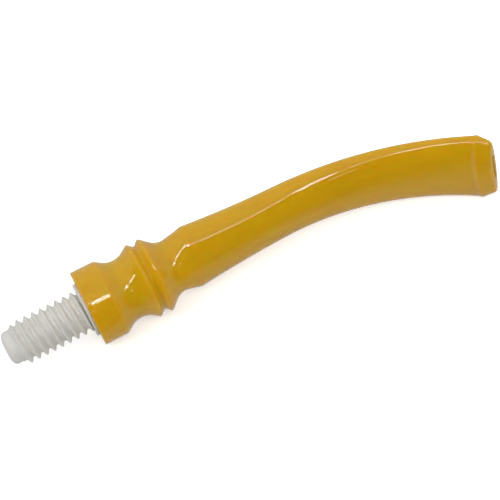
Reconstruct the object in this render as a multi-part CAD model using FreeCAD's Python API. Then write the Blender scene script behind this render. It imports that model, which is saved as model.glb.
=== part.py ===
import FreeCAD, Part
import math
import os

# A bent pipe stem: a cast stem, the screw tenon that joins it to a pipe, and the thin seat ring between them.
# Millimetres. The origin is the centre of the collar's face, +X runs along the tenon's axis towards the bit,
# the bit bends towards -Y, and the stem lies on its side with +Z up.

V = FreeCAD.Vector
AXIS = V(1, 0, 0)
ORIGIN = V(0, 0, 0)

# Screw thread shared by the tenon and the stem's socket
THREAD_R = 4.0
PITCH = 1.5
THREAD_DEPTH = 0.8
CREST_FLAT = 0.2
FLANK_ANGLE = 30.0
CREST_PHASE = 50.0
RADIAL_CLEAR = 0.08
FLANK_CLEAR = 0.05

# Screw tenon
TENON_OUT = 15.9
TENON_IN = 10.5
TENON_BORE_R = 1.4
LEAD_R = 3.1
LEAD_LEN = 0.9
DOME_LEN = 1.0
INNER_CHAMFER = 0.7

# Seat ring
RING_R = 5.0
RING_T = 0.6
RING_CLEAR = 0.08

# Turned end of the stem, as distances from the collar's face and radii
COLLAR_R = 7.1
COLLAR_LEN = 4.9
COLLAR_EDGE_LEN = 0.75
COLLAR_EDGE_DROP = 0.26
FACE_EDGE = 0.15
COVE1_X = 7.6
COVE1_R = 5.7
BEAD1_X = 10.95
BEAD1_R = 7.08
GROOVE_X = 12.25
GROOVE_R = 6.28
BEAD2_X = 13.35
BEAD2_R = 7.08
NECK_X = 16.9
NECK_R = 4.95
BEAD_FLAT = 0.12

# How steeply the turned outline leaves or meets its edges, as rise over run
COLLAR_FALL = 0.65
BEAD1_RISE = 0.75
BEAD1_FALL = 0.25
GROOVE_RISE = 0.4
BEAD2_FALL = 0.3

# Bit: widths lie along Z and thicknesses across the bend
SHOULDER_S = 20.6
SHOULDER_W = 12.9
SHOULDER_T = 9.3
SHOULDER_TILT = 9.0
SHOULDER_START = 0.15
WAIST_S = 38.5
WAIST_W = 10.6
MID_T = 6.6
BEND_START = 38.5
BEND_R = 52.0
BEND_ANGLE = 44.45
CREASE_BACK = 3.5
CREASE_W = 13.9
CREASE_T = 4.8

# Lip at the bit's end
LIP_RISE = 0.5
LIP_CREST_BACK = 2.6
LIP_W = 14.0
LIP_END_W = 11.8
LIP_END_T = 3.2
LIP_EDGE_R = 0.35

# Hollows in the stem
SOCKET_FLOOR_GAP = 0.5
RELIEF_LEN = 1.5
RELIEF_CLEAR = 0.2
AIRWAY_R = 1.4
AIRWAY_END_R = 0.9
SLOT_LEN = 9.0
SLOT_START_W = 3.0
SLOT_START_H = 2.1
SLOT_W = 5.5
SLOT_H = 1.0

ROOT_R = THREAD_R - THREAD_DEPTH
SOCKET_FLOOR = TENON_IN + SOCKET_FLOOR_GAP
STEM_LEN = BEND_START + BEND_R * math.radians(BEND_ANGLE)
CREASE_S = STEM_LEN - CREASE_BACK


def bend_at(s):
    """The bend's angle in radians at a distance along the stem's centre line."""
    return max(0.0, (s - BEND_START) / BEND_R)


def centre_at(s):
    """The point on the centre line at a distance from the collar's face."""
    a = bend_at(s)
    x = min(s, BEND_START) + BEND_R * math.sin(a)
    y = -BEND_R * (1.0 - math.cos(a))
    return V(x, y, 0)


def tilt_at(s):
    """The lean of the sections around the shoulder, in radians: its edge starts nearer the collar on the -Y side."""
    if s <= NECK_X or s >= WAIST_S:
        return 0.0
    if s <= SHOULDER_S:
        share = (s - NECK_X) / (SHOULDER_S - NECK_X)
    else:
        share = (WAIST_S - s) / (WAIST_S - SHOULDER_S)
    return math.radians(SHOULDER_TILT) * ease(share)


def frame_at(s):
    """A placement whose x is the bit's width, y its thickness and z its direction."""
    a = bend_at(s) + tilt_at(s)
    along = V(math.cos(a), -math.sin(a), 0)
    width = V(0, 0, 1)
    thick = along.cross(width)
    c = centre_at(s)
    m = FreeCAD.Matrix(
        width.x, thick.x, along.x, c.x,
        width.y, thick.y, along.y, c.y,
        width.z, thick.z, along.z, c.z,
        0, 0, 0, 1,
    )
    return FreeCAD.Placement(m)


def oval(s, w, t):
    """A closed oval of width w and thickness t across the centre line."""
    if abs(w - t) < 1e-6:
        curve = Part.Circle(ORIGIN, V(0, 0, 1), w / 2)
    else:
        curve = Part.Ellipse(ORIGIN, w / 2, t / 2)
    edge = curve.toShape()
    edge.Placement = frame_at(s)
    return Part.Wire([edge])


def ease(u):
    """0 to 1 with level ends."""
    return u * u * (3 - 2 * u)


def bit_size(s):
    """Width and thickness of the bit's oval at a distance along the centre line."""
    if s <= SHOULDER_S:
        u = (s - NECK_X) / (SHOULDER_S - NECK_X)
        k = u * u * (1 + SHOULDER_START) / (u + SHOULDER_START)
        w = 2 * NECK_R + (SHOULDER_W - 2 * NECK_R) * k
        t = 2 * NECK_R + (SHOULDER_T - 2 * NECK_R) * k
        return w, t
    if s < WAIST_S:
        w = WAIST_W + (SHOULDER_W - WAIST_W) * ((WAIST_S - s) / (WAIST_S - SHOULDER_S)) ** 2
    else:
        w = WAIST_W + (CREASE_W - WAIST_W) * ((s - WAIST_S) / (CREASE_S - WAIST_S)) ** 1.6
    mid = (SHOULDER_S + CREASE_S) / 2
    u = (s - SHOULDER_S) / (mid - SHOULDER_S)
    t = SHOULDER_T * (u - 1) * (u - 2) / 2 - MID_T * u * (u - 2) + CREASE_T * u * (u - 1) / 2
    return w, t


def bit_run(first, last, count):
    """The bit's solid between two distances along the centre line, through count steps of ovals."""
    wires = []
    for i in range(count + 1):
        s = first + (last - first) * i / count
        w, t = bit_size(s)
        wires.append(oval(s, w, t))
    return Part.makeLoft(wires, True, False)


def bit_body():
    """The flare from the neck to the shoulder's edge, and the oval bit from there to the crease before the lip."""
    return bit_run(NECK_X, SHOULDER_S, 6).fuse(bit_run(SHOULDER_S, CREASE_S, 14))


def lip():
    """The raised lip: a short rise from the crease to its crest, then a taper to the flat end."""
    crest = STEM_LEN - LIP_CREST_BACK
    start = oval(CREASE_S - 0.01, CREASE_W - 0.02, CREASE_T - 0.02)
    top = oval(crest, LIP_W, CREASE_T + 2 * LIP_RISE)
    end = oval(STEM_LEN, LIP_END_W, LIP_END_T)
    rise = Part.makeLoft([start, top], True, True)
    taper = Part.makeLoft([top, end], True, True)
    return rise.fuse(taper).removeSplitter()


def turned_end():
    """The collar, coves and beads, turned about the tenon's axis as far as the neck."""
    half = BEAD_FLAT / 2
    corner = V(COLLAR_LEN - COLLAR_EDGE_LEN, 0, COLLAR_R)
    collar_end = V(COLLAR_LEN, 0, COLLAR_R - COLLAR_EDGE_DROP)
    cove_low = V(COVE1_X, 0, COVE1_R)
    bead1_front = V(BEAD1_X - half, 0, BEAD1_R)
    bead1_back = V(BEAD1_X + half, 0, BEAD1_R)
    groove_low = V(GROOVE_X, 0, GROOVE_R)
    bead2_top = V(BEAD2_X, 0, BEAD2_R)
    neck = V(NECK_X, 0, NECK_R)
    edges = [
        Part.makeLine(ORIGIN, V(0, 0, COLLAR_R - FACE_EDGE)),
        Part.makeLine(V(0, 0, COLLAR_R - FACE_EDGE), V(FACE_EDGE, 0, COLLAR_R)),
        Part.makeLine(V(FACE_EDGE, 0, COLLAR_R), corner),
        run(corner, collar_end, 0, -COLLAR_FALL),
        run(collar_end, cove_low, -COLLAR_FALL, 0),
        run(cove_low, bead1_front, 0, BEAD1_RISE),
        Part.makeLine(bead1_front, bead1_back),
        run(bead1_back, groove_low, -BEAD1_FALL, 0),
        run(groove_low, bead2_top, GROOVE_RISE, 0),
        run(bead2_top, neck, -BEAD2_FALL, 0, 0.18, 0.5),
        Part.makeLine(neck, V(NECK_X, 0, 0)),
        Part.makeLine(V(NECK_X, 0, 0), ORIGIN),
    ]
    face = Part.Face(Part.Wire(edges))
    return face.revolve(ORIGIN, AXIS, 360)


def run(a, b, slope_a, slope_b, reach_a=0.4, reach_b=0.4):
    """A smooth outline from a to b with the slopes given. A reach is the share of its length that an end's slope holds."""
    length = b.x - a.x
    leave = a + V(1, 0, slope_a) * (length * reach_a)
    meet = b - V(1, 0, slope_b) * (length * reach_b)
    curve = Part.BezierCurve()
    curve.setPoles([a, leave, meet, b])
    return curve.toShape()


def helix_along_x(x_start, length, radius, phase):
    """A right-hand helix about the X axis. At x = 0 its angle from +Y towards +Z is the phase."""
    helix = Part.makeHelix(PITCH, length, radius)
    helix.rotate(ORIGIN, V(0, 1, 0), 90)
    helix.rotate(ORIGIN, AXIS, phase + 90 + 360 * x_start / PITCH)
    helix.translate(V(x_start, 0, 0))
    return Part.Wire(helix.Edges)


def thread_sweep(x_start, length, phase, r_in, half_in, r_out, half_out):
    """A four-sided bar swept along the thread: half_in and half_out are its half widths at r_in and r_out."""
    path = helix_along_x(x_start, length, (r_in + r_out) / 2, phase)
    angle = math.radians(phase) + 2 * math.pi * x_start / PITCH
    out = V(0, math.cos(angle), math.sin(angle))
    corners = []
    for r, dx in ((r_in, -half_in), (r_in, half_in), (r_out, half_out), (r_out, -half_out)):
        corners.append(out * r + V(x_start + dx, 0, 0))
    profile = Part.makePolygon(corners + [corners[0]])
    return path.makePipeShell([profile], True, True)


def rod(r, x0, x1):
    return Part.makeCylinder(r, x1 - x0, V(x0, 0, 0), AXIS)


def tenon():
    """The threaded tenon with its plain lead, rounded free end and bore."""
    tan = math.tan(math.radians(FLANK_ANGLE))
    lead_x = -(TENON_OUT - DOME_LEN)
    thread_x = lead_x + LEAD_LEN
    over = CREST_FLAT / 2
    sunk = THREAD_DEPTH + 0.3
    start = thread_x - PITCH
    ridge = thread_sweep(
        start, TENON_IN - start + PITCH, CREST_PHASE,
        THREAD_R - sunk, CREST_FLAT / 2 + sunk * tan, THREAD_R + over, CREST_FLAT / 2 - over * tan,
    )
    core = rod(ROOT_R, start - PITCH, TENON_IN + 2 * PITCH)
    threaded = core.fuse(ridge).common(rod(THREAD_R, start - PITCH, TENON_IN + 2 * PITCH))
    keep = rod(THREAD_R + 1, thread_x, TENON_IN)
    keep = keep.cut(cone_cap(TENON_IN, THREAD_R + 1, INNER_CHAMFER + 1, 1))
    keep = keep.cut(cone_cap(thread_x, THREAD_R + 1, THREAD_R + 1 - LEAD_R, -1))
    body = threaded.common(keep).fuse(rod(LEAD_R, lead_x, thread_x + 0.4))
    body = body.fuse(dome(lead_x))
    return body.cut(rod(TENON_BORE_R, -TENON_OUT - 1, TENON_IN + 1)).removeSplitter()


def cone_cap(x, r, size, side):
    """The ring that a chamfer of this size takes off a rod's end. side is 1 at its +X end and -1 at its -X end."""
    block = rod(r + 1, min(x, x - side * size), max(x, x - side * size))
    keep = Part.makeCone(r, r - size, size, V(x - side * size, 0, 0), V(side, 0, 0))
    return block.cut(keep)


def dome(lead_x):
    """The rounded free end, turned from an arc that runs in to the bore's mouth."""
    tip = V(lead_x - DOME_LEN, 0, TENON_BORE_R)
    edge = V(lead_x, 0, LEAD_R)
    mid = V(lead_x - DOME_LEN * 0.74, 0, TENON_BORE_R + (LEAD_R - TENON_BORE_R) * 0.62)
    arc = Part.Arc(edge, mid, tip).toShape()
    lines = [
        Part.makeLine(tip, V(tip.x, 0, 0)),
        Part.makeLine(V(tip.x, 0, 0), V(edge.x, 0, 0)),
        Part.makeLine(V(edge.x, 0, 0), edge),
    ]
    return Part.Face(Part.Wire([arc] + lines)).revolve(ORIGIN, AXIS, 360)


def seat_ring():
    return rod(RING_R, -RING_T, 0).cut(rod(THREAD_R + RING_CLEAR, -RING_T - 1, 1))


def socket():
    """The tapped socket: its bore, the thread's groove, and the relief at its floor."""
    tan = math.tan(math.radians(FLANK_ANGLE))
    minor = ROOT_R + RADIAL_CLEAR
    major = THREAD_R + RADIAL_CLEAR
    half_minor = CREST_FLAT / 2 + (THREAD_R - minor) * tan + FLANK_CLEAR
    half_major = CREST_FLAT / 2 - RADIAL_CLEAR * tan + FLANK_CLEAR
    half_inner = half_minor + 0.3 * tan
    groove = thread_sweep(
        -PITCH, SOCKET_FLOOR - RELIEF_LEN / 2 + PITCH, CREST_PHASE,
        minor - 0.3, half_inner, major, half_major,
    )
    bore = rod(minor, -1, SOCKET_FLOOR)
    relief = rod(major + RELIEF_CLEAR, SOCKET_FLOOR - RELIEF_LEN, SOCKET_FLOOR)
    drill = Part.makeCone(minor, AIRWAY_R, (minor - AIRWAY_R) * tan, V(SOCKET_FLOOR, 0, 0), AXIS)
    return bore.fuse(groove).fuse(relief).fuse(drill)


def slot_wire(s, w, h):
    """A flat slot with round ends across the centre line."""
    r = h / 2
    x = w / 2 - r
    a = Part.makeLine(V(-x, r, 0), V(x, r, 0))
    b = Part.Arc(V(x, r, 0), V(x + r, 0, 0), V(x, -r, 0)).toShape()
    c = Part.makeLine(V(x, -r, 0), V(-x, -r, 0))
    d = Part.Arc(V(-x, -r, 0), V(-x - r, 0, 0), V(-x, r, 0)).toShape()
    wire = Part.Wire([a, b, c, d])
    wire.Placement = frame_at(s)
    return wire


def airway():
    """The draft hole: round and narrowing along the bend, then flaring to a slot in the end."""
    flare = STEM_LEN - SLOT_LEN
    first = SOCKET_FLOOR - 0.2
    count = 8
    rings = []
    for i in range(count + 1):
        s = first + (flare + 0.3 - first) * i / count
        r = AIRWAY_R + (AIRWAY_END_R - AIRWAY_R) * i / count
        rings.append(oval(s, 2 * r, 2 * r))
    hole = Part.makeLoft(rings, True, False)
    slots = []
    for i in range(5):
        k = i / 4
        s = flare + (SLOT_LEN + 0.4) * k
        w = SLOT_START_W + (SLOT_W - SLOT_START_W) * k ** 1.3
        h = SLOT_START_H + (SLOT_H - SLOT_START_H) * k
        slots.append(slot_wire(s, w, h))
    return hole.fuse(Part.makeLoft(slots, True, True))


def stem():
    body = turned_end().fuse(bit_body())
    body = body.fuse(rounded_lip())
    body = body.removeSplitter()
    return body.cut(socket()).cut(airway())


def rounded_lip():
    """The lip with the edge of its end face rounded."""
    shape = lip()
    last = centre_at(STEM_LEN)
    ends = []
    for e in shape.Edges:
        if (e.CenterOfMass - last).Length < 0.3:
            ends.append(e)
    return shape.makeFillet(LIP_EDGE_R, ends)


NODES = {
    "stem": stem,
    "screw_tenon": tenon,
    "seat_ring": seat_ring,
}

os.makedirs("parts", exist_ok=True)
for name, build in NODES.items():
    shape = build()
    if shape.ShapeType == "Compound" and len(shape.Solids) == 1:
        shape = shape.Solids[0]
    box = shape.BoundBox
    print(name, shape.ShapeType, "valid", shape.isValid(), "volume", round(shape.Volume, 2))
    print("   x", round(box.XMin, 2), round(box.XMax, 2), "y", round(box.YMin, 2), round(box.YMax, 2),
          "z", round(box.ZMin, 2), round(box.ZMax, 2), "faces", len(shape.Faces))
    shape.exportStep("parts/" + name + ".step")
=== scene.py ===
import bmesh
import bpy
import math
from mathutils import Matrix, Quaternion, Vector


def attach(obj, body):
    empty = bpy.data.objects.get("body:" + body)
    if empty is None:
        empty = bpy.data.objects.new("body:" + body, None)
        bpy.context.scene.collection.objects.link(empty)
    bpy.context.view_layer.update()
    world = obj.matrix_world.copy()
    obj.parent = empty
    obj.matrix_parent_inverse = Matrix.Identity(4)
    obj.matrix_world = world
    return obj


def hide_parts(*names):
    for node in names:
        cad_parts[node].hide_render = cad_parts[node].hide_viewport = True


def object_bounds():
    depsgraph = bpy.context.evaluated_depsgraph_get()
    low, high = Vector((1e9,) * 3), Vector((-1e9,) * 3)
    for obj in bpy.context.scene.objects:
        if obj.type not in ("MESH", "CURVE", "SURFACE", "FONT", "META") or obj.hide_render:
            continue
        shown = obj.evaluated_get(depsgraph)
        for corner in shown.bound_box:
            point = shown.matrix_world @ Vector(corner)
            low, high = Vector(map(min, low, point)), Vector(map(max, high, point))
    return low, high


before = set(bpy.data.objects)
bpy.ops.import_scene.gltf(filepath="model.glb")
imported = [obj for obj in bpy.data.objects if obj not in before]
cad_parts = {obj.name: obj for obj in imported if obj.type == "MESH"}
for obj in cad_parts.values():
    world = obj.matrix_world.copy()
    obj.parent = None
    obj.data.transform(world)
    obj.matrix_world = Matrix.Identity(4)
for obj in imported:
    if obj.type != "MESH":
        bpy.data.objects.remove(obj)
cad_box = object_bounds()


# ---------------------------------------------------------------------------------------------------------
# Stem. One casting of amber-yellow resin: a turned collar, coves and beads, a flare to the shoulder, and a
# flattened bit that is bent while warm. It is turned, filed, drilled, tapped and polished to a wet gloss.
# ---------------------------------------------------------------------------------------------------------
MM = 0.001
AROUND = 128

PITCH = 1.5
THREAD_R = 4.0
THREAD_DEPTH = 0.8
CREST_FLAT = 0.2
FLANK_WIDTH = THREAD_DEPTH * math.tan(math.radians(30))
CREST_PHASE = 50 / 360
THREAD_CLEAR = 0.08
FLANK_CLEAR = 0.05
CREST_LOSS = 0.046    # what THREAD_CLEAR takes from each side of the crest on a 30 degree flank
SOCKET_RIM_CLEAR = 0.06
POINTS_PER_TURN = 24

COLLAR_R = 7.1
COLLAR_LEN = 4.9
COLLAR_EDGE = (0.75, 0.26)
FACE_EDGE_R = 0.16
COVE = (7.6, 5.7)
BEAD1 = (10.95, 7.08)
GROOVE = (12.25, 6.28)
BEAD2 = (13.35, 7.08)
NECK = (16.9, 4.95)
BEAD_FLAT = 0.12

COLLAR_FALL = 0.65
BEAD1_RISE = 0.75
BEAD1_FALL = 0.25
GROOVE_RISE = 0.4
BEAD2_FALL = 0.3

SHOULDER_S = 20.6
SHOULDER_W = 12.9
SHOULDER_T = 9.3
SHOULDER_TILT = math.radians(9)
SHOULDER_START = 0.15
WAIST_S = 38.5
WAIST_W = 10.6
MID_T = 6.6
BEND_START = 38.5
BEND_R = 52.0
BEND_ANGLE = math.radians(44.45)
STEM_LEN = BEND_START + BEND_R * BEND_ANGLE
CREASE_BACK = 3.5
CREASE_S = STEM_LEN - CREASE_BACK
CREASE_W = 13.9
CREASE_T = 4.8
LIP_CREST_BACK = 2.6
LIP_S = STEM_LEN - LIP_CREST_BACK
LIP_W = 14.0
LIP_T = 5.8
LIP_END_W = 11.8
LIP_END_T = 3.2
LIP_EDGE_R = 0.35

SOCKET_FLOOR = 11.0
SOCKET_RELIEF = (9.5, 4.28)
DRILL_POINT = 0.58
AIRWAY_R = 1.4
AIRWAY_END_R = 0.9
SLOT_LEN = 9.0
SLOT_START_W = 3.0
SLOT_START_H = 2.1
SLOT_W = 5.5
SLOT_H = 1.0
SLOT_EDGE = 0.05
SLOT_EDGE_LEN = 0.08


def linear(code):
    """An sRGB colour such as C8940F as linear red, green, blue and an alpha of 1."""
    parts = []
    for i in (0, 2, 4):
        c = int(code[i:i + 2], 16) / 255
        parts.append(c / 12.92 if c <= 0.04045 else ((c + 0.055) / 1.055) ** 2.4)
    return (*parts, 1.0)


def add(tree, kind, inputs=None, **settings):
    """Adds a node with its settings. Each input takes a number or another node's output socket."""
    made = tree.nodes.new(kind)
    for name, value in settings.items():
        setattr(made, name, value)
    for key, value in (inputs or {}).items():
        if isinstance(value, bpy.types.NodeSocket):
            tree.links.new(value, made.inputs[key])
        else:
            made.inputs[key].default_value = value
    return made


def new_material(name):
    """An empty node material and its tree."""
    material = bpy.data.materials.new(name)
    material.use_nodes = True
    material.node_tree.nodes.clear()
    return material, material.node_tree


# Cast polyester resin, tumbled and buffed: a clear gloss over a colour that light sinks into a little, with
# faint clouds from the pour, and a buffed surface that is never quite flat, so its highlights waver.
amber_resin, tree = new_material("cast_resin_polished_amber")
place = add(tree, "ShaderNodeTexCoord").outputs["Object"]
flow = add(tree, "ShaderNodeMapping", {"Vector": place, "Scale": (0.45, 1.0, 1.0)}).outputs[0]
clouds = add(tree, "ShaderNodeTexNoise", {"Vector": flow, "Scale": 1 / (6 * MM), "Detail": 4.0,
                                          "Roughness": 0.6})
pour = add(tree, "ShaderNodeValToRGB", {"Fac": clouds.outputs["Fac"]})
pour.color_ramp.elements[0].position = 0.3
pour.color_ramp.elements[0].color = linear("E0AF0C")
pour.color_ramp.elements[1].position = 0.72
pour.color_ramp.elements[1].color = linear("E8B814")
waver = add(tree, "ShaderNodeTexNoise", {"Vector": place, "Scale": 1 / (2.2 * MM), "Detail": 2.0,
                                         "Roughness": 0.45})
buffed = add(tree, "ShaderNodeBump", {"Height": waver.outputs["Fac"], "Strength": 0.35,
                                      "Distance": 0.03 * MM})
haze = add(tree, "ShaderNodeTexNoise", {"Vector": place, "Scale": 1 / (9 * MM), "Detail": 3.0})
gloss = add(tree, "ShaderNodeMapRange", {"Value": haze.outputs["Fac"], "From Min": 0.3, "From Max": 0.7,
                                         "To Min": 0.05, "To Max": 0.11})
resin = add(tree, "ShaderNodeBsdfPrincipled", {
    "Base Color": pour.outputs["Color"], "Roughness": gloss.outputs["Result"],
    "Normal": buffed.outputs["Normal"], "IOR": 1.54, "Subsurface Weight": 0.8,
    "Subsurface Radius": (1.0, 0.3, 0.1), "Subsurface Scale": 2.5 * MM,
})
add(tree, "ShaderNodeOutputMaterial", {"Surface": resin.outputs[0]})


def new_tree(name, sizes):
    """A Geometry Nodes tree with named number inputs after its geometry input, and its two end nodes."""
    made = bpy.data.node_groups.new(name, "GeometryNodeTree")
    made.interface.new_socket("Geometry", in_out="OUTPUT", socket_type="NodeSocketGeometry")
    made.interface.new_socket("Geometry", in_out="INPUT", socket_type="NodeSocketGeometry")
    for size in sizes:
        number = "NodeSocketInt" if size.startswith("Points") else "NodeSocketFloat"
        made.interface.new_socket(size, in_out="INPUT", socket_type=number)
    return made, add(made, "NodeGroupInput").outputs, add(made, "NodeGroupOutput")


def finish_tree(made, shape, end):
    """Realises what the tree made, gives it the chosen material, and sends it out."""
    real = add(made, "GeometryNodeRealizeInstances", {0: shape}).outputs[0]
    smooth = add(made, "GeometryNodeSetShadeSmooth", {"Geometry": real}).outputs[0]
    dressed = add(made, "GeometryNodeSetMaterial", {"Geometry": smooth}).outputs[0]
    made.links.new(dressed, end.inputs[0])


def shaped(made, material, values, start=None):
    """The plain mesh that a tree makes from start with these values, and this material."""
    host = bpy.data.objects.new("shaping", start or bpy.data.meshes.new("empty"))
    bpy.context.scene.collection.objects.link(host)
    for n in made.nodes:
        if n.bl_idname == "GeometryNodeSetMaterial":
            n.inputs["Material"].default_value = material
    modifier = host.modifiers.new("shape", "NODES")
    modifier.node_group = made
    for item in made.interface.items_tree:
        if item.in_out == "INPUT" and item.name in values:
            modifier[item.identifier] = values[item.name]
    host.update_tag()
    bpy.context.view_layer.update()
    graph = bpy.context.evaluated_depsgraph_get()
    mesh = bpy.data.meshes.new_from_object(host.evaluated_get(graph))
    host.modifiers.remove(modifier)
    bpy.data.objects.remove(host)
    return mesh


# A screw thread as one skin. Its columns follow the helix, so each crest and root is a clean line, and its
# ends run out into round rims. Side is 1 for a screw and -1 for a tapped hole.
thread_tree, size, end = new_tree("screw_thread", [
    "Start", "End", "Pitch", "Root radius", "Depth", "Crest half", "Flank", "Phase", "Side", "Rim radius",
    "Points around", "Points per turn"])
span = add(thread_tree, "ShaderNodeMath", {0: size["End"], 1: size["Start"]},
           operation="SUBTRACT").outputs[0]
in_turns = add(thread_tree, "ShaderNodeMath", {0: span, 1: size["Pitch"]}, operation="DIVIDE").outputs[0]
whole_turns = add(thread_tree, "ShaderNodeMath", {0: in_turns}, operation="CEIL").outputs[0]
turns = add(thread_tree, "ShaderNodeMath", {0: whole_turns, 1: 1.0}, operation="ADD").outputs[0]
columns = add(thread_tree, "ShaderNodeMath", {0: turns, 1: size["Points per turn"], 2: 1.0},
              operation="MULTIPLY_ADD").outputs[0]
rows = add(thread_tree, "ShaderNodeMath", {0: size["Points around"], 1: 1.0}, operation="ADD").outputs[0]
sheet = add(thread_tree, "GeometryNodeMeshGrid", {"Size X": 1.0, "Size Y": 1.0, "Vertices X": columns,
                                                  "Vertices Y": rows}).outputs["Mesh"]
sheet_place = add(thread_tree, "GeometryNodeInputPosition").outputs[0]
spot = add(thread_tree, "ShaderNodeSeparateXYZ", {0: sheet_place})
along = add(thread_tree, "ShaderNodeMath", {0: spot.outputs["X"], 1: 0.5}, operation="ADD").outputs[0]
round_share = add(thread_tree, "ShaderNodeMath", {0: spot.outputs["Y"], 1: 0.5}, operation="ADD").outputs[0]
helix_turn = add(thread_tree, "ShaderNodeMath", {0: along, 1: turns, 2: -1.0},
                 operation="MULTIPLY_ADD").outputs[0]
helix_x = add(thread_tree, "ShaderNodeMath", {0: helix_turn, 1: size["Pitch"], 2: size["Start"]},
              operation="MULTIPLY_ADD").outputs[0]
place_in_turn = add(thread_tree, "ShaderNodeMath", {0: helix_x, 1: size["Pitch"]},
                    operation="DIVIDE").outputs[0]
phased = add(thread_tree, "ShaderNodeMath", {0: place_in_turn, 1: size["Phase"]}, operation="ADD").outputs[0]
from_crest = add(thread_tree, "ShaderNodeMath", {0: phased, 1: 0.5}, operation="PINGPONG").outputs[0]
crest_gap = add(thread_tree, "ShaderNodeMath", {0: from_crest, 1: size["Pitch"]},
                operation="MULTIPLY").outputs[0]
foot = add(thread_tree, "ShaderNodeMath", {0: size["Crest half"], 1: size["Flank"]},
           operation="ADD").outputs[0]
rise = add(thread_tree, "ShaderNodeMapRange", {
    "Value": crest_gap, "From Min": foot, "From Max": size["Crest half"], "To Min": 0.0, "To Max": 1.0,
}).outputs["Result"]
ridge_r = add(thread_tree, "ShaderNodeMath", {0: rise, 1: size["Depth"], 2: size["Root radius"]},
              operation="MULTIPLY_ADD").outputs[0]
free_x = add(thread_tree, "ShaderNodeMath", {0: round_share, 1: size["Pitch"], 2: helix_x},
             operation="MULTIPLY_ADD").outputs[0]
low_x = add(thread_tree, "ShaderNodeMath", {0: free_x, 1: size["Start"]}, operation="MAXIMUM").outputs[0]
thread_x = add(thread_tree, "ShaderNodeMath", {0: low_x, 1: size["End"]}, operation="MINIMUM").outputs[0]
from_start = add(thread_tree, "ShaderNodeMath", {0: thread_x, 1: size["Start"]},
                 operation="SUBTRACT").outputs[0]
from_end = add(thread_tree, "ShaderNodeMath", {0: size["End"], 1: thread_x}, operation="SUBTRACT").outputs[0]
nearest = add(thread_tree, "ShaderNodeMath", {0: from_start, 1: from_end}, operation="MINIMUM").outputs[0]
sided_r = add(thread_tree, "ShaderNodeMath", {0: ridge_r, 1: size["Side"]}, operation="MULTIPLY").outputs[0]
limit = add(thread_tree, "ShaderNodeMath", {0: size["Rim radius"], 1: size["Side"], 2: nearest},
            operation="MULTIPLY_ADD").outputs[0]
kept_r = add(thread_tree, "ShaderNodeMath", {0: sided_r, 1: limit}, operation="MINIMUM").outputs[0]
final_r = add(thread_tree, "ShaderNodeMath", {0: kept_r, 1: size["Side"]}, operation="MULTIPLY").outputs[0]
turn_angle = add(thread_tree, "ShaderNodeMath", {0: round_share, 1: math.tau},
                 operation="MULTIPLY").outputs[0]
cosine = add(thread_tree, "ShaderNodeMath", {0: turn_angle}, operation="COSINE").outputs[0]
sine = add(thread_tree, "ShaderNodeMath", {0: turn_angle}, operation="SINE").outputs[0]
thread_y = add(thread_tree, "ShaderNodeMath", {0: final_r, 1: cosine}, operation="MULTIPLY").outputs[0]
thread_z = add(thread_tree, "ShaderNodeMath", {0: final_r, 1: sine}, operation="MULTIPLY").outputs[0]
wound = add(thread_tree, "ShaderNodeCombineXYZ", {0: thread_x, 1: thread_y, 2: thread_z}).outputs[0]
placed = add(thread_tree, "GeometryNodeSetPosition", {"Geometry": sheet, "Position": wound}).outputs[0]
welded = add(thread_tree, "GeometryNodeMergeByDistance", {"Geometry": placed,
                                                          "Distance": 0.002 * MM}).outputs[0]
finish_tree(thread_tree, welded, end)

# The warm bend: the straight stem is wrapped on a round former from Bend start onwards.
bend_tree, size, end = new_tree("warm_bend", ["Bend start", "Bend radius"])
spot = add(bend_tree, "ShaderNodeSeparateXYZ", {0: add(bend_tree, "GeometryNodeInputPosition").outputs[0]})
past = add(bend_tree, "ShaderNodeMath", {0: spot.outputs["X"], 1: size["Bend start"]},
           operation="SUBTRACT").outputs[0]
wrapped = add(bend_tree, "ShaderNodeMath", {0: past, 1: 0.0}, operation="MAXIMUM").outputs[0]
bend_angle = add(bend_tree, "ShaderNodeMath", {0: wrapped, 1: size["Bend radius"]},
                 operation="DIVIDE").outputs[0]
straight_x = add(bend_tree, "ShaderNodeMath", {0: spot.outputs["X"], 1: size["Bend start"]},
                 operation="MINIMUM").outputs[0]
arm = add(bend_tree, "ShaderNodeMath", {0: spot.outputs["Y"], 1: size["Bend radius"]},
          operation="ADD").outputs[0]
sine = add(bend_tree, "ShaderNodeMath", {0: bend_angle}, operation="SINE").outputs[0]
cosine = add(bend_tree, "ShaderNodeMath", {0: bend_angle}, operation="COSINE").outputs[0]
bent_x = add(bend_tree, "ShaderNodeMath", {0: arm, 1: sine, 2: straight_x},
             operation="MULTIPLY_ADD").outputs[0]
swung = add(bend_tree, "ShaderNodeMath", {0: arm, 1: cosine}, operation="MULTIPLY").outputs[0]
bent_y = add(bend_tree, "ShaderNodeMath", {0: swung, 1: size["Bend radius"]},
             operation="SUBTRACT").outputs[0]
bent = add(bend_tree, "ShaderNodeCombineXYZ", {0: bent_x, 1: bent_y, 2: spot.outputs["Z"]}).outputs[0]
straight = size["Geometry"]
formed = add(bend_tree, "GeometryNodeSetPosition", {"Geometry": straight, "Position": bent}).outputs[0]
finish_tree(bend_tree, formed, end)


def ease(u):
    """0 to 1 with level ends."""
    return u * u * (3 - 2 * u)


def rim(x, half_t, half_w, lean=0.0, around=AROUND):
    """A closed oval across the stem: half_t lies along Y and half_w along Z, and its plane leans by lean."""
    points = []
    for i in range(around):
        a = math.tau * i / around
        y = half_t * math.cos(a)
        points.append((x + y * math.tan(lean), y, half_w * math.sin(a)))
    return points


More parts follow.
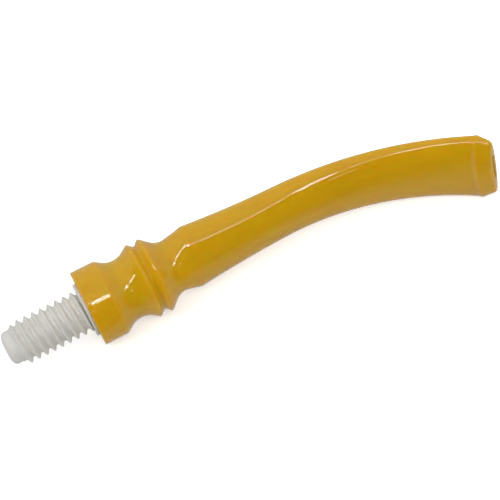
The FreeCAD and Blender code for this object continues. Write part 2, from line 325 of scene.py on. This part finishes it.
def slot_rim(x, half_t, half_w):
    """A closed slot with round ends, with as many points as a rim."""
    points = []
    side = half_w - half_t
    for i in range(AROUND):
        a = math.tau * i / AROUND
        quarter = math.asin(min(1.0, abs(math.sin(a)))) / (math.pi / 2)
        if quarter < 0.5:
            y, z = half_t, side * quarter * 2
        else:
            turn = (quarter - 0.5) * math.pi
            y, z = half_t * math.cos(turn), side + half_t * math.sin(turn)
        points.append((x, math.copysign(y, math.cos(a)), math.copysign(z, math.sin(a))))
    return points


def outline(a, b, slope_a, slope_b, reach_a=0.4, reach_b=0.4, steps=12):
    """Points of a turned outline after a and up to b, leaving and meeting its ends at these slopes."""
    length = b[0] - a[0]
    p = [a, (a[0] + length * reach_a, a[1] + slope_a * length * reach_a),
         (b[0] - length * reach_b, b[1] - slope_b * length * reach_b), b]
    points = []
    for i in range(1, steps + 1):
        t = i / steps
        share = ((1 - t) ** 3, 3 * t * (1 - t) ** 2, 3 * t * t * (1 - t), t ** 3)
        points.append(tuple(sum(k * q[n] for k, q in zip(share, p)) for n in (0, 1)))
    return points


def rounded(x, r, radius, turn_from, turn_to, steps=4):
    """Points of a rounded edge: an arc about (x, r) between two angles, where 0 points outwards."""
    points = []
    for i in range(steps + 1):
        a = math.radians(turn_from + (turn_to - turn_from) * i / steps)
        points.append((x + radius * math.sin(a), r + radius * math.cos(a)))
    return points


def bit_half(s):
    """Half thickness and half width of the bit at a distance from the collar's face."""
    if s <= SHOULDER_S:
        u = (s - NECK[0]) / (SHOULDER_S - NECK[0])
        k = u * u * (1 + SHOULDER_START) / (u + SHOULDER_START)
        return NECK[1] + (SHOULDER_T / 2 - NECK[1]) * k, NECK[1] + (SHOULDER_W / 2 - NECK[1]) * k
    if s < WAIST_S:
        w = WAIST_W + (SHOULDER_W - WAIST_W) * ((WAIST_S - s) / (WAIST_S - SHOULDER_S)) ** 2
    else:
        w = WAIST_W + (CREASE_W - WAIST_W) * ((s - WAIST_S) / (CREASE_S - WAIST_S)) ** 1.6
    u = 2 * (s - SHOULDER_S) / (CREASE_S - SHOULDER_S)
    t = SHOULDER_T * (u - 1) * (u - 2) / 2 - MID_T * u * (u - 2) + CREASE_T * u * (u - 1) / 2
    return t / 2, w / 2


def lean_at(s):
    """How far the shoulder's sections lean, so that its edge starts nearer the collar inside the bend."""
    if s <= SHOULDER_S:
        return SHOULDER_TILT * ease((s - NECK[0]) / (SHOULDER_S - NECK[0]))
    return SHOULDER_TILT * ease(max(0.0, (WAIST_S - s) / (WAIST_S - SHOULDER_S)))


def skin(rims, extra=()):
    """One closed mesh in metres from rims in millimetres, joined in order and welded to the extra meshes."""
    bm = bmesh.new()
    last = None
    for points in rims:
        row = [bm.verts.new(Vector(p) * MM) for p in points]
        if last:
            for i in range(len(row)):
                j = (i + 1) % len(row)
                bm.faces.new((last[i], last[j], row[j], row[i]))
        last = row
    for mesh in extra:
        bm.from_mesh(mesh)
    bmesh.ops.remove_doubles(bm, verts=bm.verts, dist=0.004 * MM)
    bmesh.ops.recalc_face_normals(bm, faces=bm.faces)
    open_edges = [e for e in bm.edges if len(e.link_faces) != 2]
    if open_edges:
        raise ValueError(f"the skin has {len(open_edges)} edges that do not join two faces")
    mesh = bpy.data.meshes.new("skin")
    bm.to_mesh(mesh)
    bm.free()
    return mesh


def finished(name, mesh, material, crease_degrees):
    """The finished object: smooth, with edges sharper than crease_degrees kept crisp."""
    mesh.name = name
    mesh.materials.clear()
    mesh.materials.append(material)
    mesh.shade_smooth()
    mesh.set_sharp_from_angle(angle=math.radians(crease_degrees))
    made = bpy.data.objects.new(name, mesh)
    bpy.context.scene.collection.objects.link(made)
    return made


minor_r = THREAD_R - THREAD_DEPTH + THREAD_CLEAR
socket_rim_r = THREAD_R + THREAD_CLEAR + SOCKET_RIM_CLEAR
tapped = shaped(thread_tree, amber_resin, {
    "Start": 0.0, "End": SOCKET_RELIEF[0] * MM, "Pitch": PITCH * MM, "Root radius": minor_r * MM,
    "Depth": THREAD_DEPTH * MM, "Crest half": (CREST_FLAT / 2 + FLANK_CLEAR - CREST_LOSS) * MM,
    "Flank": FLANK_WIDTH * MM, "Phase": CREST_PHASE, "Side": -1.0, "Rim radius": socket_rim_r * MM,
    "Points around": AROUND, "Points per turn": POINTS_PER_TURN,
})

turned = rounded(FACE_EDGE_R, COLLAR_R - FACE_EDGE_R, FACE_EDGE_R, -90, 0)
corner = (COLLAR_LEN - COLLAR_EDGE[0], COLLAR_R)
collar_end = (COLLAR_LEN, COLLAR_R - COLLAR_EDGE[1])
turned += [(x, COLLAR_R) for x in (1.0, 2.0, 3.0)] + [corner]
turned += outline(corner, collar_end, 0, -COLLAR_FALL, steps=6)
turned += outline(collar_end, COVE, -COLLAR_FALL, 0)
turned += outline(COVE, (BEAD1[0] - BEAD_FLAT / 2, BEAD1[1]), 0, BEAD1_RISE, steps=16)
turned += outline((BEAD1[0] + BEAD_FLAT / 2, BEAD1[1]), GROOVE, -BEAD1_FALL, 0, steps=8)
turned += outline(GROOVE, BEAD2, GROOVE_RISE, 0, steps=8)
turned += outline(BEAD2, NECK, -BEAD2_FALL, 0, reach_a=0.18, reach_b=0.5, steps=18)
rims = [rim(0, socket_rim_r, socket_rim_r)]
rims += [rim(x, r, r) for x, r in turned]
flare_steps = 14
for i in range(1, flare_steps + 1):
    s = NECK[0] + (SHOULDER_S - NECK[0]) * i / flare_steps
    rims.append(rim(s, *bit_half(s), lean_at(s)))
bit_steps = 72
for i in range(1, bit_steps + 1):
    s = SHOULDER_S + (CREASE_S - SHOULDER_S) * i / bit_steps
    rims.append(rim(s, *bit_half(s), lean_at(s)))
lip_rise_steps = 4
for i in range(1, lip_rise_steps + 1):
    k = i / lip_rise_steps
    rims.append(rim(CREASE_S + (LIP_S - CREASE_S) * k, (CREASE_T + (LIP_T - CREASE_T) * k) / 2,
                    (CREASE_W + (LIP_W - CREASE_W) * k) / 2))
taper_len = STEM_LEN - LIP_S
taper_steps = 6
for i in range(1, taper_steps + 1):
    k = i / taper_steps * (1 - LIP_EDGE_R / taper_len)
    rims.append(rim(LIP_S + taper_len * k, (LIP_T + (LIP_END_T - LIP_T) * k) / 2,
                    (LIP_W + (LIP_END_W - LIP_W) * k) / 2))
edge_steps = 4
for i in range(1, edge_steps + 1):
    a = math.radians(90 * i / edge_steps)
    inset = LIP_EDGE_R * (1 - math.cos(a))
    rims.append(rim(STEM_LEN - LIP_EDGE_R * (1 - math.sin(a)), LIP_END_T / 2 - inset, LIP_END_W / 2 - inset))
rims.append(slot_rim(STEM_LEN, SLOT_H / 2 + SLOT_EDGE, SLOT_W / 2 + SLOT_EDGE))
slot_steps = 4
for i in range(slot_steps + 1):
    k = i / slot_steps
    half_h = (SLOT_H + (SLOT_START_H - SLOT_H) * k) / 2
    half_w = (SLOT_W + (SLOT_START_W - SLOT_W) * k) / 2
    rims.append(slot_rim(STEM_LEN - SLOT_EDGE_LEN - (SLOT_LEN - SLOT_EDGE_LEN) * k, half_h, half_w))
airway_steps = 16
first = STEM_LEN - SLOT_LEN
last = SOCKET_FLOOR + (minor_r - AIRWAY_R) * DRILL_POINT
for i in range(airway_steps + 1):
    k = i / airway_steps
    r = AIRWAY_END_R + (AIRWAY_R - AIRWAY_END_R) * k
    rims.append(rim(first + (last - first) * k, r, r))
rims.append(rim(SOCKET_FLOOR, minor_r, minor_r))
rims.append(rim(SOCKET_FLOOR, SOCKET_RELIEF[1], SOCKET_RELIEF[1]))
rims.append(rim(SOCKET_RELIEF[0], SOCKET_RELIEF[1], SOCKET_RELIEF[1]))
rims.append(rim(SOCKET_RELIEF[0], socket_rim_r, socket_rim_r))

straight_stem = skin(rims, [tapped])
former = {"Bend start": BEND_START * MM, "Bend radius": BEND_R * MM}
bent_stem = shaped(bend_tree, amber_resin, former, straight_stem)
stem = finished("stem_resin", bent_stem, amber_resin, 24)
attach(stem, "stem")
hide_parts("stem")


# ---------------------------------------------------------------------------------------------------------
# Screw tenon. Turned from white nylon rod, threaded from a plain lead and a rounded free end to its inner
# end, and drilled through for the draft. It screws into the stem's socket, and the pipe's shank takes it.
# ---------------------------------------------------------------------------------------------------------
TENON_OUT = 15.9
TENON_IN = 10.5
TENON_BORE_R = 1.4
LEAD_R = 3.1
LEAD_LEN = 0.9
DOME_LEN = 1.0
DOME_FLAT = 0.15
MOUTH_EDGE = 0.03
TENON_AROUND = 96

# Nylon rod cut with a die: a satin white that light enters, with fine tool marks and soft highlights.
white_nylon, tree = new_material("nylon_turned_white")
place = add(tree, "ShaderNodeTexCoord").outputs["Object"]
mottle = add(tree, "ShaderNodeTexNoise", {"Vector": place, "Scale": 1 / (3 * MM), "Detail": 3.0})
tone = add(tree, "ShaderNodeValToRGB", {"Fac": mottle.outputs["Fac"]})
tone.color_ramp.elements[0].position = 0.3
tone.color_ramp.elements[0].color = linear("E6E4DE")
tone.color_ramp.elements[1].position = 0.7
tone.color_ramp.elements[1].color = linear("EEECE7")
tool_axis = add(tree, "ShaderNodeMapping", {"Vector": place, "Scale": (8.0, 1.0, 1.0)}).outputs[0]
tool_marks = add(tree, "ShaderNodeTexNoise", {"Vector": tool_axis, "Scale": 1 / (0.8 * MM), "Detail": 2.0})
cut = add(tree, "ShaderNodeBump", {"Height": tool_marks.outputs["Fac"], "Strength": 0.3,
                                   "Distance": 0.015 * MM})
nylon = add(tree, "ShaderNodeBsdfPrincipled", {
    "Base Color": tone.outputs["Color"], "Normal": cut.outputs["Normal"], "Roughness": 0.3, "IOR": 1.53,
    "Subsurface Weight": 0.4, "Subsurface Radius": (1.0, 0.9, 0.8), "Subsurface Scale": 0.8 * MM,
})
add(tree, "ShaderNodeOutputMaterial", {"Surface": nylon.outputs[0]})

lead_x = DOME_LEN - TENON_OUT
threaded = shaped(thread_tree, white_nylon, {
    "Start": (lead_x + LEAD_LEN) * MM, "End": TENON_IN * MM, "Pitch": PITCH * MM,
    "Root radius": (THREAD_R - THREAD_DEPTH) * MM, "Depth": THREAD_DEPTH * MM,
    "Crest half": CREST_FLAT / 2 * MM, "Flank": FLANK_WIDTH * MM, "Phase": CREST_PHASE, "Side": 1.0,
    "Rim radius": LEAD_R * MM,
    "Points around": TENON_AROUND, "Points per turn": POINTS_PER_TURN,
})
lathe = [(lead_x + LEAD_LEN, LEAD_R), (lead_x, LEAD_R)]
dome_steps = 8
flat_r = TENON_BORE_R + DOME_FLAT
for i in range(1, dome_steps + 1):
    a = math.radians(90 * i / dome_steps)
    lathe.append((lead_x - DOME_LEN * math.sin(a), flat_r + (LEAD_R - flat_r) * math.cos(a)))
lathe += [(-TENON_OUT + 0.1, TENON_BORE_R + MOUTH_EDGE), (-TENON_OUT + 0.25, TENON_BORE_R)]
lathe += [(TENON_IN, TENON_BORE_R), (TENON_IN, LEAD_R)]
tenon_skin = skin([rim(x, r, r, around=TENON_AROUND) for x, r in lathe], [threaded])
tenon = finished("tenon_nylon", tenon_skin, white_nylon, 28)
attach(tenon, "tenon")
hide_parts("screw_tenon")


# ---------------------------------------------------------------------------------------------------------
# Seat ring. A thin washer of the same white nylon on the thread, between the collar's face and the shank. It
# takes up the last part of a turn, so that the bend lines up with the pipe when the stem is tight.
# ---------------------------------------------------------------------------------------------------------
RING_R = 5.0
RING_T = 0.6
RING_CLEAR = 0.08
RING_HOLE_R = THREAD_R + RING_CLEAR
RING_EDGE_R = 0.1

washer = [(0, RING_HOLE_R), (0, RING_R - RING_EDGE_R)]
washer += rounded(-RING_EDGE_R, RING_R - RING_EDGE_R, RING_EDGE_R, 90, 0, 3)
washer += rounded(-RING_T + RING_EDGE_R, RING_R - RING_EDGE_R, RING_EDGE_R, 0, -90, 3)
washer += [(-RING_T, RING_HOLE_R), (0, RING_HOLE_R)]
ring = finished("ring_nylon", skin([rim(x, r, r) for x, r in washer]), white_nylon, 40)
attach(ring, "ring")
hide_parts("seat_ring")


# ---------------------------------------------------------------------------------------------------------
# Studio, which is no part of the object. A white light table lies under the stem, with pale walls all round
# and a dark gap on the camera's side. A long lamp and a side lamp cross the top of that gap, with a small
# lamp near them and a thin one below, and a cloth panel hangs overhead.
# ---------------------------------------------------------------------------------------------------------
# Opal acrylic: an even matt white. Only the camera sees its glow, so it doesn't light the stem from below,
# and the gloss of the resin doesn't mirror it.
light_table, tree = new_material("acrylic_opal_light_table")
seen = add(tree, "ShaderNodeLightPath").outputs["Is Camera Ray"]
table_glow = add(tree, "ShaderNodeMapRange", {"Value": seen, "To Min": 0.0, "To Max": 0.6}).outputs["Result"]
opal = add(tree, "ShaderNodeBsdfPrincipled", {
    "Base Color": linear("F4F4F4"), "Roughness": 0.8, "Emission Color": linear("FFFFFF"),
    "Emission Strength": table_glow})
add(tree, "ShaderNodeOutputMaterial", {"Surface": opal.outputs[0]})

floor_z = cad_box[0][2]
floor_mesh = bpy.data.meshes.new("floor")
reach = 3000 * MM
floor_mesh.from_pydata([(-reach, -reach, floor_z), (reach, -reach, floor_z), (reach, reach, floor_z),
                        (-reach, reach, floor_z)], [], [(0, 1, 2, 3)])
floor_mesh.materials.append(light_table)
floor = bpy.data.objects.new("floor", floor_mesh)
bpy.context.scene.collection.objects.link(floor)
floor.visible_glossy = False

aim = Vector((29.9, -6.22, 0.78)) * MM
view_azimuth = math.radians(-12.0)
view_elevation = math.radians(43.3)
view_roll = math.radians(-18.73)
view_distance = 220 * MM
back = Vector((math.sin(view_azimuth) * math.cos(view_elevation),
               -math.cos(view_azimuth) * math.cos(view_elevation), math.sin(view_elevation)))
camera_data = bpy.data.cameras.new("camera")
camera_data.sensor_width = 36.0
camera_data.lens = 89.65
camera_data.clip_start = 0.01
camera_data.dof.use_dof = False
camera = bpy.data.objects.new("camera", camera_data)
camera.rotation_mode = "QUATERNION"
camera.location = aim + back * view_distance
camera.rotation_quaternion = back.to_track_quat("Z", "Y") @ Quaternion((0, 0, 1), view_roll)
bpy.context.scene.collection.objects.link(camera)
bpy.context.scene.camera = camera

right = camera.rotation_quaternion @ Vector((1, 0, 0))
up = camera.rotation_quaternion @ Vector((0, 1, 0))


def lamp(name, across, rise, distance, width, height, brightness, turn=0.0):
    """A soft rectangular lamp beside the camera, parallel to its picture and turned in that plane. Across
    and rise place it, as shares of its distance from the stem in mm. Brightness is per square metre."""
    data = bpy.data.lights.new(name, "AREA")
    data.shape = "RECTANGLE"
    data.size = width * MM
    data.size_y = height * MM
    data.energy = brightness * math.pi * width * height * MM * MM
    made = bpy.data.objects.new(name, data)
    made.rotation_mode = "QUATERNION"
    made.location = aim + (back + right * across + up * rise) * distance * MM
    made.rotation_quaternion = camera.rotation_quaternion @ Quaternion((0, 0, 1), math.radians(turn))
    bpy.context.scene.collection.objects.link(made)
    return made


lamp("long_lamp", across=0.17, rise=0.205, distance=700, width=600, height=28, brightness=9.0, turn=7.0)
lamp("side_lamp", across=-0.92, rise=0.071, distance=700, width=930, height=60, brightness=12.0, turn=7.0)
lamp("small_lamp", across=0.13, rise=0.18, distance=690, width=150, height=120, brightness=9.0)
lamp("thin_lamp", across=0.13, rise=-0.20, distance=700, width=120, height=35, brightness=5.0)

# A cloth panel overhead, which lights the top and leaves no reflection of its own.
panel = lamp("cloth_panel", across=0.0, rise=0.0, distance=700, width=600, height=600, brightness=0.55)
overhead = Vector((-0.35, 0.1, 1.0)).normalized()
panel.location = aim + overhead * 700 * MM
panel.rotation_quaternion = overhead.to_track_quat("Z", "Y")
panel.visible_glossy = False

# The walls: pale above and behind, and dark on the camera's side as far up as the long lamp. Each wall is so
# far off that only its direction from the stem counts.
world = bpy.data.worlds.new("studio")
world.use_nodes = True
walls = world.node_tree
walls.nodes.clear()
facing = add(walls, "ShaderNodeTexCoord").outputs["Generated"]
to_camera = add(walls, "ShaderNodeVectorMath", {0: facing, 1: tuple(back)},
                operation="DOT_PRODUCT").outputs["Value"]
to_top = add(walls, "ShaderNodeVectorMath", {0: facing, 1: tuple(up)},
             operation="DOT_PRODUCT").outputs["Value"]
near = add(walls, "ShaderNodeMapRange", {"Value": to_camera, "From Min": -0.1,
                                         "From Max": 0.35}).outputs["Result"]
below = add(walls, "ShaderNodeMapRange", {"Value": to_top, "From Min": 0.2,
                                          "From Max": 0.17}).outputs["Result"]
gap = add(walls, "ShaderNodeMath", {0: near, 1: below}, operation="MULTIPLY").outputs[0]
wall_light = add(walls, "ShaderNodeMapRange", {"Value": gap, "To Min": 0.54,
                                               "To Max": 0.03}).outputs["Result"]
glow = add(walls, "ShaderNodeBackground", {"Color": (1.0, 1.0, 1.0, 1.0), "Strength": wall_light})
add(walls, "ShaderNodeOutputWorld", {"Surface": glow.outputs[0]})
bpy.context.scene.world = world
bpy.context.scene.view_settings.view_transform = "Standard"
